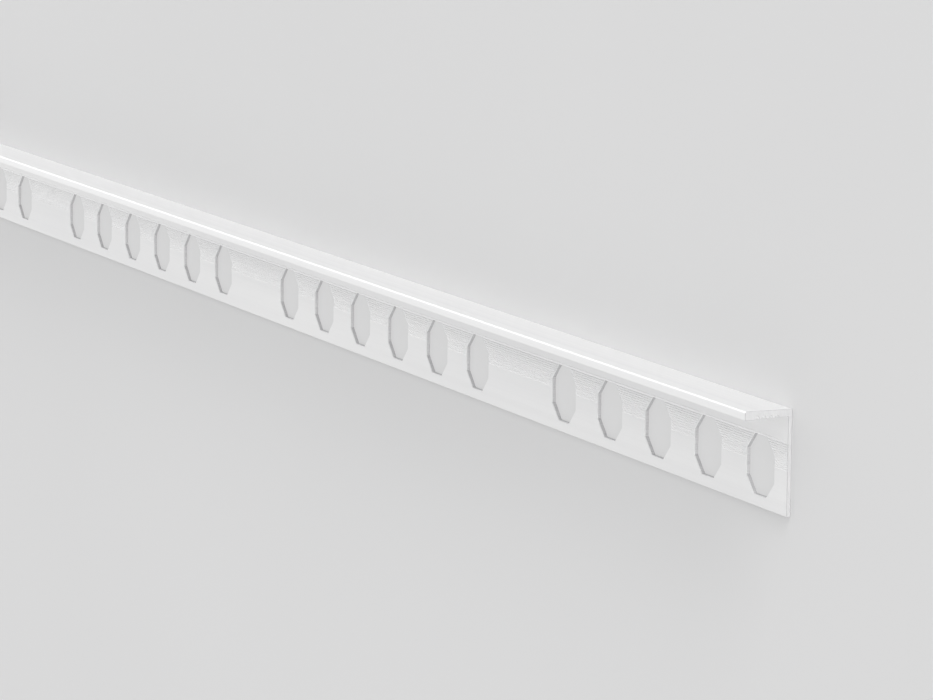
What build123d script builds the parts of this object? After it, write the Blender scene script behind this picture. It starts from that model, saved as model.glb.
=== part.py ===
from build123d import *
import os

# Tile edging profile: one extruded aluminium angle with a row of octagonal holes punched in its leg.
# X runs along the length, Y across the leg from the flange to the free edge, and Z up.
# The leg lies on Z = 0, the flange stands along its -Y edge, and the origin is under the leg's middle.
# All sizes are in millimetres.

# Stock
length = 1000.0
leg_width = 23.0
leg_thickness = 0.9
flange_height = 11.0

# Flange: the wall thickens from its root to the nose, and the nose is chamfered on the outside
flange_root_thickness = 1.5
nose_thickness = 1.9
nose_depth = 2.3
nose_chamfer = 0.45

# Keying grooves along the flange's inner face, counted down from the nose
groove_pitch = 1.5
groove_mouth_width = 1.15
groove_floor_width = 0.35
groove_web_thickness = 1.05

# Bead along the leg, just above the holes
bead_width = 0.45
bead_height = 0.08
bead_hole_gap = 0.1

# Punched octagonal holes: a blank place follows the first group and then every full group
hole_pitch = 25.0
hole_across_flats = 13.0
hole_corner_cut = 3.6
hole_edge_margin = 2.5
holes_in_first_group = 5
holes_in_full_group = 6

# Roundings of the extruded edges
heel_radius = 0.15
leg_edge_radius = 0.15
inner_corner_radius = 0.3
nose_radius = 0.12
chamfer_radius = 0.15
groove_radius = 0.1

# Places that follow from the sizes above
heel = -leg_width / 2
toe = leg_width / 2
near_end = -length / 2
hole_centre = toe - hole_edge_margin - hole_across_flats / 2
bead_centre = hole_centre - hole_across_flats / 2 - bead_hole_gap - bead_width / 2
nose_underside = flange_height - nose_depth


def inner_face(height):
    """Distance across to the flange's inner face, which leans out from the leg to the nose."""
    rise = (height - leg_thickness) / (nose_underside - leg_thickness)
    return heel + flange_root_thickness + rise * (nose_thickness - flange_root_thickness)


def groove_centres():
    """Heights of the grooves under the nose, lowest first, with at least one pitch left plain above the leg."""
    highest = nose_underside - groove_mouth_width / 2
    lowest_allowed = leg_thickness + groove_pitch + groove_mouth_width / 2
    count = int((highest - lowest_allowed) / groove_pitch) + 1
    return [highest - groove_pitch * step for step in reversed(range(count))]


def groove_corners(centre):
    """The four corners of one groove as (across, up, rounding), from its lower lip to its upper lip."""
    lower_lip = centre - groove_mouth_width / 2
    upper_lip = centre + groove_mouth_width / 2
    floor = heel + groove_web_thickness
    return [
        (inner_face(lower_lip), lower_lip, groove_radius),
        (floor, centre - groove_floor_width / 2, groove_radius),
        (floor, centre + groove_floor_width / 2, groove_radius),
        (inner_face(upper_lip), upper_lip, groove_radius),
    ]


def section_corners():
    """Corners of the cross-section as (across, up, rounding), from the heel round by the toe and the nose."""
    bead_top = leg_thickness + bead_height
    leg_side = [
        (heel, 0, heel_radius),
        (toe, 0, leg_edge_radius),
        (toe, leg_thickness, leg_edge_radius),
        (bead_centre + bead_width / 2, leg_thickness, 0),
        (bead_centre + bead_width / 4, bead_top, 0),
        (bead_centre - bead_width / 4, bead_top, 0),
        (bead_centre - bead_width / 2, leg_thickness, 0),
        (inner_face(leg_thickness), leg_thickness, inner_corner_radius),
    ]
    flange_side = [corner for centre in groove_centres() for corner in groove_corners(centre)]
    nose = [
        (heel + nose_thickness, flange_height, nose_radius),
        (heel + nose_chamfer, flange_height, chamfer_radius),
        (heel, flange_height - nose_chamfer, chamfer_radius),
    ]
    return leg_side + flange_side + nose


def extruded_angle():
    """The section drawn across the length and extruded from end to end."""
    corners = section_corners()
    across_length = Plane(origin=(near_end, 0, 0), x_dir=(0, 1, 0), z_dir=(1, 0, 0))
    outline = FilletPolyline(
        [(across, up) for across, up, rounding in corners],
        radius=[rounding for across, up, rounding in corners],
        close=True,
    )
    return extrude(across_length * make_face(outline), amount=length)


def octagon():
    """One hole's outline: a square with its four corners cut off."""
    flat = hole_across_flats / 2
    corner = flat - hole_corner_cut
    quarter = [(flat, corner), (corner, flat)]
    outline = quarter + [(-across, up) for across, up in reversed(quarter)]
    outline += [(-across, -up) for across, up in outline]
    return make_face(Polyline(*outline, close=True))


def hole_places():
    """Middles of the holes along the length, half a pitch in from the near end, with the blanks left out."""
    places = []
    for step in range(int(length / hole_pitch)):
        is_blank = (step - holes_in_first_group) % (holes_in_full_group + 1) == 0
        if not is_blank:
            places.append(near_end + hole_pitch * (step + 0.5))
    return places


def punched_profile():
    """The extruded angle with the holes punched through its leg."""
    punch_height = leg_thickness + 2 * bead_height
    punch = extrude(octagon(), amount=punch_height, both=True)
    row = Locations(*[(place, hole_centre, 0) for place in hole_places()])
    return extruded_angle() - [place * punch for place in row.locations]


os.makedirs("parts", exist_ok=True)
export_step(punched_profile(), "parts/tile_edging_profile.step")
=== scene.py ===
"""Tile edging profile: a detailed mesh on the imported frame, its finishes, a floor, lights and a camera."""

import math

import bmesh
import bpy
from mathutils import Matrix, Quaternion, Vector


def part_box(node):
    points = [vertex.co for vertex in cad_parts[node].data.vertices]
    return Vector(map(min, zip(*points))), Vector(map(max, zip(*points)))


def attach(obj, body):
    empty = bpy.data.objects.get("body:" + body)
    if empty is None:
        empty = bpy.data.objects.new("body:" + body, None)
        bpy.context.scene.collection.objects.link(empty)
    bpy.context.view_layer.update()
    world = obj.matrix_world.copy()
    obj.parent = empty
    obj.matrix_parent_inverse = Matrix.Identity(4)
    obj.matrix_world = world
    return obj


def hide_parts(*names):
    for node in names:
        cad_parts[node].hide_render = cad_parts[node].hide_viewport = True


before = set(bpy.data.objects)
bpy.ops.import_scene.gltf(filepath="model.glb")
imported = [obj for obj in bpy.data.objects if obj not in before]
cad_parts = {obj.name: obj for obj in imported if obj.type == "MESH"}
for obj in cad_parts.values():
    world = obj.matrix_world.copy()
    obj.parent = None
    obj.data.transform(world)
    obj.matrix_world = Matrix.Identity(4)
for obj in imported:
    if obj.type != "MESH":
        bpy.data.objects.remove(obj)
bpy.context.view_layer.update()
NODE = "tile_edging_profile"
LOW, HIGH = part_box(NODE)
MM = 0.001

# Section of the extrusion
LEG_THICKNESS = 0.9 * MM
FLANGE_ROOT_THICKNESS = 1.5 * MM
NOSE_THICKNESS = 1.9 * MM
NOSE_DEPTH = 2.3 * MM
NOSE_CHAMFER = 0.3 * MM
GROOVE_COUNT = 4
GROOVE_PITCH = 1.5 * MM
GROOVE_MOUTH = 1.15 * MM
GROOVE_FLOOR = 0.35 * MM
GROOVE_WEB = 1.05 * MM
HEEL_RADIUS = 0.15 * MM
LEG_EDGE_RADIUS = 0.15 * MM
INNER_CORNER_RADIUS = 0.3 * MM
NOSE_RADIUS = 0.12 * MM
CHAMFER_RADIUS = 0.1 * MM
GROOVE_RADIUS = 0.1 * MM
ARC_STEP = math.radians(15)

# Broken edges of the sawn ends
END_BREAK = 0.05 * MM
END_BREAK_LENGTH = 0.1 * MM

# Punched holes
HOLE_PITCH = 25.0 * MM
HOLE_FLAT = 6.5 * MM
HOLE_CORNER = 2.9 * MM
HOLE_EDGE_MARGIN = 2.5 * MM
HOLES_IN_FIRST_GROUP = 5
HOLES_IN_FULL_GROUP = 6
PUNCH_ROLL = 0.1 * MM

# Bead and fine keying lines on the leg
BEAD_WIDTH = 0.45 * MM
BEAD_HEIGHT = 0.08 * MM
BEAD_HOLE_GAP = 0.1 * MM
BEAD_STEPS = 6
LINE_COUNT = 12
LINE_PITCH = 0.5 * MM
LINE_WIDTH = 0.32 * MM
LINE_DEPTH = 0.1 * MM

# Places that follow
HEEL, TOE = LOW.y, HIGH.y
NOSE_TIP = HIGH.z
NOSE_UNDERSIDE = NOSE_TIP - NOSE_DEPTH
HOLE_Y = TOE - HOLE_EDGE_MARGIN - HOLE_FLAT
RING_SCALE = (HOLE_FLAT + PUNCH_ROLL) / HOLE_FLAT
BEAD_Y = HOLE_Y - HOLE_FLAT - BEAD_HOLE_GAP - BEAD_WIDTH / 2
WALL_TOP = LEG_THICKNESS - PUNCH_ROLL - LINE_DEPTH / 2
SAME_LINE = 0.001 * MM

# Finishes: the noises run mostly between the two limits given here
EXTRUDED, FACED_PAINTED_LIGHTER, SAWN, SHEARED = range(4)
SHARP_ANGLE = math.radians(28)
METALLIC = 0.6
MATT_ROUGHNESS = 0.9
MATT_SPECULAR = 0.1
NOISE_LOW, NOISE_HIGH = 0.3, 0.7

# Stage: a wide floor just under the leg, and a card between them that shows through the holes, painted paler
# than the floor to lift the shade that falls in the holes
FLOOR_HALF_WIDTH = 20.0
FLOOR_DROP = 0.012 * MM
CARD_DROP = 0.006 * MM
CARD_MARGIN = 1.0 * MM
CARD_EVEN_TONE = (0.68, 0.68, 0.682, 1)
CARD_EVENNESS = 0.7

# Light of the surroundings, which falls off between two heights of the direction, and what the lamps face
HORIZON_STRENGTH = 1.2
OVERHEAD_STRENGTH = 0.5
FALL_START = 0.3
FALL_END = 0.95
LIT_POINT = Vector((-0.3, 0, 0))


def inner_face(height):
    """Place across of the flange's inner face, which leans out from the leg to the nose."""
    rise = (height - LEG_THICKNESS) / (NOSE_UNDERSIDE - LEG_THICKNESS)
    return HEEL + FLANGE_ROOT_THICKNESS + rise * (NOSE_THICKNESS - FLANGE_ROOT_THICKNESS)


def half_width(offset):
    """Half the hole's width along the length, at a distance across from its middle."""
    return min(HOLE_FLAT, HOLE_FLAT + HOLE_CORNER - abs(offset))


def ring_scale(up):
    """How much wider a hole is at a height: its rolled rim on the leg's upper face is the widest."""
    return RING_SCALE if up > LEG_THICKNESS / 2 else 1


def on_ring(point):
    """Whether an outline point is on a line that runs into the holes, or touches their outermost edges."""
    across, up = point
    return abs(across - HOLE_Y) < ring_scale(up) * HOLE_FLAT + SAME_LINE


def ring_half_width(point):
    """Half the gap that a hole leaves in the line through an outline point."""
    across, up = point
    scale = ring_scale(up)
    return scale * half_width((across - HOLE_Y) / scale)


def keying_lines():
    """Points (across, up) of the fine V grooves on the leg, from the bead towards the free edge."""
    points = []
    first = BEAD_Y + BEAD_WIDTH / 2 + LINE_PITCH / 2
    for step in range(LINE_COUNT):
        middle = first + step * LINE_PITCH
        points.append((middle - LINE_WIDTH / 2, LEG_THICKNESS))
        points.append((middle, LEG_THICKNESS - LINE_DEPTH))
        points.append((middle + LINE_WIDTH / 2, LEG_THICKNESS))
    return points


def bead():
    """Points (across, up) over the bead, a half wave that stands on the leg."""
    points = []
    for step in range(BEAD_STEPS + 1):
        share = step / BEAD_STEPS
        height = BEAD_HEIGHT * math.sin(math.pi * share)
        points.append((BEAD_Y + BEAD_WIDTH * (share - 0.5), LEG_THICKNESS + height))
    return points


def height_between(points, across):
    """Height of a run of (across, up) points at one place across."""
    for (start, low), (end, high) in zip(points, points[1:]):
        if start <= across <= end:
            return low + (high - low) * (across - start) / (end - start)
    return LEG_THICKNESS


def leg_lines():
    """The leg's upper face as sorted (across, up) points, with a line through each corner of the holes."""
    relief = bead() + keying_lines()
    for offset in (-HOLE_FLAT, -HOLE_CORNER, HOLE_CORNER, HOLE_FLAT):
        across = HOLE_Y + RING_SCALE * offset
        if all(abs(across - other) > SAME_LINE for other, height in relief):
            relief.append((across, height_between(sorted(relief), across)))
    return sorted(relief)


def rounded(corners):
    """Points round a closed outline of (across, up, radius) corners, with each rounding as an arc."""
    points = []
    for index, (across, up, radius) in enumerate(corners):
        if radius == 0:
            points.append((across, up))
            continue
        corner = Vector((across, up))
        before = (Vector(corners[index - 1][:2]) - corner).normalized()
        after = (Vector(corners[(index + 1) % len(corners)][:2]) - corner).normalized()
        half_angle = before.angle(after) / 2
        centre = corner + (before + after).normalized() * (radius / math.sin(half_angle))
        reach = radius / math.tan(half_angle)
        start = corner + before * reach - centre
        end = corner + after * reach - centre
        start_angle = math.atan2(start.y, start.x)
        sweep = math.remainder(math.atan2(end.y, end.x) - start_angle, math.tau)
        steps = max(2, math.ceil(abs(sweep) / ARC_STEP))
        for step in range(steps + 1):
            angle = start_angle + sweep * step / steps
            points.append((centre.x + radius * math.cos(angle), centre.y + radius * math.sin(angle)))
    return points


def flange_grooves():
    """Corners (across, up, radius) of the keying grooves in the flange's inner face, lowest first."""
    corners = []
    highest = NOSE_UNDERSIDE - GROOVE_MOUTH / 2
    floor = HEEL + GROOVE_WEB
    for step in reversed(range(GROOVE_COUNT)):
        middle = highest - GROOVE_PITCH * step
        lower_lip = middle - GROOVE_MOUTH / 2
        upper_lip = middle + GROOVE_MOUTH / 2
        corners += [
            (inner_face(lower_lip), lower_lip, GROOVE_RADIUS),
            (floor, middle - GROOVE_FLOOR / 2, GROOVE_RADIUS),
            (floor, middle + GROOVE_FLOOR / 2, GROOVE_RADIUS),
            (inner_face(upper_lip), upper_lip, GROOVE_RADIUS),
        ]
    return corners


def section_outline():
    """The section as a closed run of (across, up) points, from the heel by the free edge and the nose."""
    upper = leg_lines()
    ring = [point for point in upper if on_ring(point)]
    corners = [(HEEL, 0, HEEL_RADIUS)]
    corners += [(HOLE_Y + (across - HOLE_Y) / RING_SCALE, 0, 0) for across, up in ring]
    corners += [(TOE, 0, LEG_EDGE_RADIUS), (TOE, LEG_THICKNESS, LEG_EDGE_RADIUS)]
    corners += [(across, up, 0) for across, up in reversed(upper)]
    corners.append((inner_face(LEG_THICKNESS), LEG_THICKNESS, INNER_CORNER_RADIUS))
    corners += flange_grooves()
    corners += [
        (HEEL + NOSE_THICKNESS, NOSE_TIP, NOSE_RADIUS),
        (HEEL + NOSE_CHAMFER, NOSE_TIP, CHAMFER_RADIUS),
        (HEEL, NOSE_TIP - NOSE_CHAMFER, CHAMFER_RADIUS),
    ]
    return rounded(corners)


def inset(outline, distance):
    """A closed run of points moved inwards by a distance, for an outline that runs anticlockwise."""
    moved = []
    for index, place in enumerate(outline):
        corner = Vector(place)
        before = (corner - Vector(outline[index - 1])).normalized()
        after = (Vector(outline[(index + 1) % len(outline)]) - corner).normalized()
        inwards = Vector((-before.y - after.y, before.x + after.x)).normalized()
        reach = distance / inwards.dot(Vector((-after.y, after.x)))
        moved.append(tuple(corner + inwards * reach))
    return moved


class ProfileMesh:
    """Collects faces as lists of places, then joins them into one mesh."""

    def __init__(self):
        self.work = bmesh.new()

    def face(self, places, slot):
        """Add one face with a material slot."""
        corners = [self.work.verts.new(place) for place in places]
        self.work.faces.new(corners).material_index = slot

    def joined(self, name):
        """The mesh of all faces, with the corners that they share joined."""
        bmesh.ops.remove_doubles(self.work, verts=self.work.verts, dist=SAME_LINE)
        bmesh.ops.recalc_face_normals(self.work, faces=self.work.faces)
        mesh = bpy.data.meshes.new(name)
        self.work.to_mesh(mesh)
        self.work.free()
        return mesh


def edge_stops(point, start, end, hole):
    """Places along one edge of a strip, with the two ends of the gap that a hole leaves in it."""
    stops = [start, end]
    if hole is not None and on_ring(point):
        gap = ring_half_width(point)
        stops[1:1] = [hole - gap, hole + gap]
    return [(along, *point) for along in stops]


def strip_finish(first, second):
    """The slot of a strip: the flange's outer face, chamfer and nose are the profile's visible faces, which
    take a copy of the metal painted lighter as painted light.
    """
    across = (first[0] + second[0]) / 2
    up = (first[1] + second[1]) / 2
    # Painted light: the flange's outer face, chamfer and nose take a paler copy of the metal.
    is_faced_painted_lighter = across < HEEL + SAME_LINE or up > NOSE_TIP - NOSE_CHAMFER
    return FACED_PAINTED_LIGHTER if is_faced_painted_lighter else EXTRUDED


def strip_faces(mesh, first, second, start, end, hole):
    """One cell of the strip between two outline points, split in two where a hole breaks it."""
    crosses_hole = hole is not None and on_ring(first) and on_ring(second) and first[0] != second[0]
    near = edge_stops(first, start, end, hole)
    far = edge_stops(second, start, end, hole)
    if crosses_hole:
        for side in (slice(0, 2), slice(2, 4)):
            mesh.face(near[side] + far[side][::-1], EXTRUDED)
    else:
        mesh.face(near + far[::-1], strip_finish(first, second))


def hole_loop(points, hole):
    """A closed loop of places round a hole, from its (across, up) lines."""
    right = [(hole + ring_half_width(point), *point) for point in points]
    left = [(hole - ring_half_width(point), *point) for point in reversed(points)]
    return right + left


def hole_walls(mesh, upper, lower, hole):
    """The rolled rim and the sheared wall of one hole."""
    rim = hole_loop(upper, hole)
    foot = hole_loop(lower, hole)
    shoulder = [(along, across, WALL_TOP) for along, across, up in foot]
    for index in range(len(rim)):
        after = (index + 1) % len(rim)
        mesh.face([rim[index], rim[after], shoulder[after], shoulder[index]], EXTRUDED)
        mesh.face([shoulder[index], shoulder[after], foot[after], foot[index]], SHEARED)


def cut_end(mesh, outline, inner, end):
    """A sawn end with its edges broken all round."""
    face = inset(outline, END_BREAK)
    for index, point in enumerate(outline):
        edge = [(inner, *outline[index - 1]), (inner, *point)]
        mesh.face(edge + [(end, *face[index]), (end, *face[index - 1])], SHEARED)
    mesh.face([(end, *point) for point in face], SAWN)


def hole_in_cell(cell):
    """Middle of the hole in one pitch cell, or None where the place is blank."""
    if (cell - HOLES_IN_FIRST_GROUP) % (HOLES_IN_FULL_GROUP + 1) == 0:
        return None
    return LOW.x + HOLE_PITCH * (cell + 0.5)


def profile_mesh():
    """The whole profile as one closed mesh of strips along the length."""
    outline = section_outline()
    upper = sorted(point for point in outline if on_ring(point) and point[1] > LEG_THICKNESS / 2)
    lower = sorted(point for point in outline if on_ring(point) and point[1] == 0)
    mesh = ProfileMesh()
    cells = round((HIGH.x - LOW.x) / HOLE_PITCH)
    for cell in range(cells):
        start = LOW.x + max(HOLE_PITCH * cell, END_BREAK_LENGTH)
        end = min(LOW.x + HOLE_PITCH * (cell + 1), HIGH.x - END_BREAK_LENGTH)
        hole = hole_in_cell(cell)
        for index, point in enumerate(outline):
            strip_faces(mesh, outline[index - 1], point, start, end, hole)
        if hole is not None:
            hole_walls(mesh, upper, lower, hole)
    cut_end(mesh, outline, LOW.x + END_BREAK_LENGTH, LOW.x)
    cut_end(mesh, outline, HIGH.x - END_BREAK_LENGTH, HIGH.x)
    return mesh.joined("profile")


def profile_piece():
    """The profile as a piece, shaded smooth on its roundings and flat on its faces."""
    data = profile_mesh()
    piece = bpy.data.objects.new("profile", data)
    bpy.context.scene.collection.objects.link(piece)
    data.shade_smooth()
    data.set_sharp_from_angle(angle=SHARP_ANGLE)
    weighted = piece.modifiers.new("flat_faces_first", "WEIGHTED_NORMAL")
    weighted.keep_sharp = True
    weighted.weight = 100
    return piece


class Finish:
    """A node material whose shader is fed by noises in object space."""

    def __init__(self, name):
        self.material = bpy.data.materials.new(name)
        self.material.use_nodes = True
        self.nodes = self.material.node_tree.nodes
        self.links = self.material.node_tree.links
        self.shader = self.nodes["Principled BSDF"]
        self.normal = None

    def noise(self, scale, detail):
        """A noise value, with a different scale along each axis, per metre."""
        place = self.nodes.new("ShaderNodeTexCoord")
        mapping = self.nodes.new("ShaderNodeMapping")
        mapping.inputs["Scale"].default_value = scale
        noise = self.nodes.new("ShaderNodeTexNoise")
        noise.inputs["Scale"].default_value = 1.0
        noise.inputs["Detail"].default_value = detail
        self.links.new(place.outputs["Object"], mapping.inputs["Vector"])
        self.links.new(mapping.outputs["Vector"], noise.inputs["Vector"])
        return noise.outputs["Fac"]

    def tint(self, value, darker, lighter):
        """Base colour between two tones, by a noise value."""
        ramp = self.nodes.new("ShaderNodeValToRGB")
        dark_end, light_end = ramp.color_ramp.elements
        dark_end.position = NOISE_LOW
        dark_end.color = (*darker, 1)
        light_end.position = NOISE_HIGH
        light_end.color = (*lighter, 1)
        self.links.new(value, ramp.inputs["Fac"])
        self.links.new(ramp.outputs["Color"], self.shader.inputs["Base Color"])

    def roughen(self, value, low, high):
        """Roughness between two limits, by a noise value."""
        spread = self.nodes.new("ShaderNodeMapRange")
        spread.inputs["From Min"].default_value = NOISE_LOW
        spread.inputs["From Max"].default_value = NOISE_HIGH
        spread.inputs["To Min"].default_value = low
        spread.inputs["To Max"].default_value = high
        self.links.new(value, spread.inputs["Value"])
        self.links.new(spread.outputs["Result"], self.shader.inputs["Roughness"])

    def bump(self, value, strength, height):
        """Fine relief from a noise value, on top of the relief that is there already."""
        bump = self.nodes.new("ShaderNodeBump")
        bump.inputs["Strength"].default_value = strength
        bump.inputs["Distance"].default_value = height
        self.links.new(value, bump.inputs["Height"])
        if self.normal is not None:
            self.links.new(self.normal, bump.inputs["Normal"])
        self.normal = bump.outputs["Normal"]
        self.links.new(self.normal, self.shader.inputs["Normal"])

    def as_metal(self):
        """The material, with a metal's gloss."""
        self.shader.inputs["Metallic"].default_value = METALLIC
        return self.material

    def as_matt_paint(self):
        """The material, with hardly any gloss."""
        self.shader.inputs["Roughness"].default_value = MATT_ROUGHNESS
        self.shader.inputs["Specular IOR Level"].default_value = MATT_SPECULAR
        return self.material


def satin_aluminium():
    """Extruded faces: pale satin metal with die lines along the length and a fine matt grain."""
    finish = Finish("satin_aluminium")
    die_lines = finish.noise((1.5, 2600, 2600), detail=4)
    grain = finish.noise((9000, 9000, 9000), detail=1)
    clouds = finish.noise((4, 60, 60), detail=2)
    finish.tint(clouds, darker=(0.80, 0.80, 0.805), lighter=(0.85, 0.85, 0.85))
    finish.roughen(die_lines, low=0.4, high=0.5)
    finish.bump(die_lines, strength=0.12, height=0.01 * MM)
    finish.bump(grain, strength=0.12, height=0.005 * MM)
    return finish.as_metal()


def brushed_aluminium_painted_lighter():
    """Visible faces of the flange and nose: the same metal, finely brushed, with a paler base that is
    painted light standing in for the light that falls on them.
    """
    finish = Finish("brushed_aluminium_painted_lighter")
    streaks = finish.noise((1.2, 900, 900), detail=4)
    brush_lines = finish.noise((1.5, 4200, 4200), detail=4)
    # Painted light: a paler base than the leg's metal, standing in for the light that these faces catch.
    finish.tint(streaks, darker=(0.845, 0.845, 0.848), lighter=(0.89, 0.89, 0.89))
    finish.roughen(brush_lines, low=0.34, high=0.5)
    finish.bump(brush_lines, strength=0.25, height=0.008 * MM)
    return finish.as_metal()


def sawn_aluminium():
    """Cut ends: duller metal with fine saw lines."""
    finish = Finish("sawn_aluminium")
    saw_lines = finish.noise((500, 350, 5200), detail=3)
    finish.tint(saw_lines, darker=(0.67, 0.67, 0.675), lighter=(0.71, 0.71, 0.71))
    finish.roughen(saw_lines, low=0.35, high=0.5)
    finish.bump(saw_lines, strength=0.2, height=0.02 * MM)
    return finish.as_metal()


def sheared_aluminium():
    """Punched walls and broken edges: darker metal with short streaks through the thickness."""
    finish = Finish("sheared_aluminium")
    streaks = finish.noise((4500, 4500, 500), detail=3)
    finish.tint(streaks, darker=(0.55, 0.55, 0.555), lighter=(0.66, 0.66, 0.665))
    finish.roughen(streaks, low=0.4, high=0.6)
    finish.bump(streaks, strength=0.4, height=0.03 * MM)
    return finish.as_metal()


def floor_paint():
    """Matt pale grey with a very slight mottle."""
    finish = Finish("pale_floor")
    mottle = finish.noise((6, 6, 6), detail=2)
    finish.tint(mottle, darker=(0.766, 0.766, 0.768), lighter=(0.776, 0.776, 0.778))
    return finish.as_matt_paint()


def seen_itself(nodes, links):
    """1 for the rays that show a surface itself: straight from the camera, in gloss or through glass."""
    rays = nodes.new("ShaderNodeLightPath")
    seen = rays.outputs["Is Camera Ray"]
    for kind in ("Is Glossy Ray", "Is Transmission Ray"):
        either = nodes.new("ShaderNodeMath")
        either.operation = "MAXIMUM"
        links.new(seen, either.inputs[0])
        links.new(rays.outputs[kind], either.inputs[1])
        seen = either.outputs["Value"]
    return seen


def shade_lifting_card_paint():
    """Matt white of the card that shows through the holes, painted paler than the floor to lift the shade
    there, most of it seen as one even pale tone.
    """
    finish = Finish("card_painted_against_shade")
    nodes, links = finish.nodes, finish.links
    fibres = finish.noise((300, 300, 300), detail=2)
    # Painted light: paler than the floor, so that the holes don't show the shade that falls in them.
    finish.tint(fibres, darker=(0.85, 0.85, 0.852), lighter=(0.87, 0.87, 0.872))
    even = nodes.new("ShaderNodeEmission")
    even.inputs["Color"].default_value = CARD_EVEN_TONE
    share = nodes.new("ShaderNodeMath")
    share.operation = "MULTIPLY"
    share.inputs[1].default_value = CARD_EVENNESS
    links.new(seen_itself(nodes, links), share.inputs[0])
    blend = nodes.new("ShaderNodeMixShader")
    links.new(share.outputs["Value"], blend.inputs["Fac"])
    links.new(finish.shader.outputs["BSDF"], blend.inputs[1])
    links.new(even.outputs["Emission"], blend.inputs[2])
    links.new(blend.outputs["Shader"], nodes["Material Output"].inputs["Surface"])
    return finish.as_matt_paint()


def stage_sheet(name, first_corner, second_corner, height, material):
    """A flat sheet of the stage, given by two opposite corners."""
    left, front = first_corner
    right, back = second_corner
    mesh = bpy.data.meshes.new(name)
    places = [(x, y, height) for x, y in ((left, front), (right, front), (right, back), (left, back))]
    mesh.from_pydata(places, [], [(0, 1, 2, 3)])
    mesh.materials.append(material)
    sheet = bpy.data.objects.new(name, mesh)
    bpy.context.scene.collection.objects.link(sheet)


def floor_pieces():
    """The wide pale floor, and the card that lies on it behind the holes, painted paler to lift the shade
    that falls in them.
    """
    half = FLOOR_HALF_WIDTH
    stage_sheet("floor", (-half, -half), (half, half), LOW.z - FLOOR_DROP, floor_paint())
    reach = HOLE_FLAT + CARD_MARGIN
    near_corner = (LOW.x + CARD_MARGIN, HOLE_Y - reach)
    far_corner = (HIGH.x - CARD_MARGIN, HOLE_Y + reach)
    stage_sheet("card", near_corner, far_corner, LOW.z - CARD_DROP, shade_lifting_card_paint())


def soft_light(name, place, size, power):
    """A rectangular area light that faces the lit point and isn't seen itself."""
    data = bpy.data.lights.new(name, "AREA")
    data.shape = "RECTANGLE"
    data.size, data.size_y = size
    data.energy = power
    lamp = bpy.data.objects.new(name, data)
    lamp.location = place
    lamp.rotation_euler = (LIT_POINT - Vector(place)).to_track_quat("-Z", "Y").to_euler()
    lamp.visible_camera = False
    bpy.context.scene.collection.objects.link(lamp)


def surroundings():
    """White surroundings, brightest towards the horizon and darker overhead."""
    world = bpy.data.worlds.new("studio")
    world.use_nodes = True
    nodes, links = world.node_tree.nodes, world.node_tree.links
    direction = nodes.new("ShaderNodeTexCoord")
    axes = nodes.new("ShaderNodeSeparateXYZ")
    links.new(direction.outputs["Generated"], axes.inputs["Vector"])
    fall = nodes.new("ShaderNodeMapRange")
    fall.interpolation_type = "SMOOTHSTEP"
    fall.inputs["From Min"].default_value = FALL_START
    fall.inputs["From Max"].default_value = FALL_END
    fall.inputs["To Min"].default_value = HORIZON_STRENGTH
    fall.inputs["To Max"].default_value = OVERHEAD_STRENGTH
    links.new(axes.outputs["Z"], fall.inputs["Value"])
    surround = nodes["Background"]
    surround.inputs["Color"].default_value = (1, 1, 1, 1)
    links.new(fall.outputs["Result"], surround.inputs["Strength"])
    bpy.context.scene.world = world


def studio():
    """The surroundings, low lamps on the flange's side and at the near end, and one for the chamfer."""
    surroundings()
    soft_light("flange_side", place=(-6.3, -8.8, 1.76), size=(8.8, 1.8), power=504)
    soft_light("end_side", place=(-10.1, -1.4, 1.2), size=(5.4, 1.7), power=300)
    soft_light("chamfer_side", place=(9.4, -2.8, 2.9), size=(4.9, 4.9), power=60)


def photo_camera():
    """The camera at the photograph's angle, turned so that the flange's outer face is at the top."""
    aim = Vector((-328.7, 0.8, 0)) * MM
    distance = 1134.6 * MM
    azimuth = math.radians(-170.51)
    elevation = math.radians(23.19)
    roll = math.radians(-93.22)
    back = Vector((
        math.cos(azimuth) * math.cos(elevation),
        math.sin(azimuth) * math.cos(elevation),
        math.sin(elevation),
    ))
    data = bpy.data.cameras.new("photo_camera")
    data.sensor_width = 36.0
    data.lens = 180.47
    camera = bpy.data.objects.new("photo_camera", data)
    camera.location = aim + back * distance
    camera.rotation_mode = "QUATERNION"
    camera.rotation_quaternion = (-back).to_track_quat("-Z", "Y") @ Quaternion((0, 0, 1), roll)
    bpy.context.scene.collection.objects.link(camera)
    bpy.context.scene.camera = camera


profile = profile_piece()
for finish_in_slot in (satin_aluminium, brushed_aluminium_painted_lighter, sawn_aluminium, sheared_aluminium):
    profile.data.materials.append(finish_in_slot())
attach(profile, "root")
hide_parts(NODE)
floor_pieces()
studio()
photo_camera()
bpy.context.scene.view_settings.view_transform = "Standard"

bpy.context.view_layer.update()
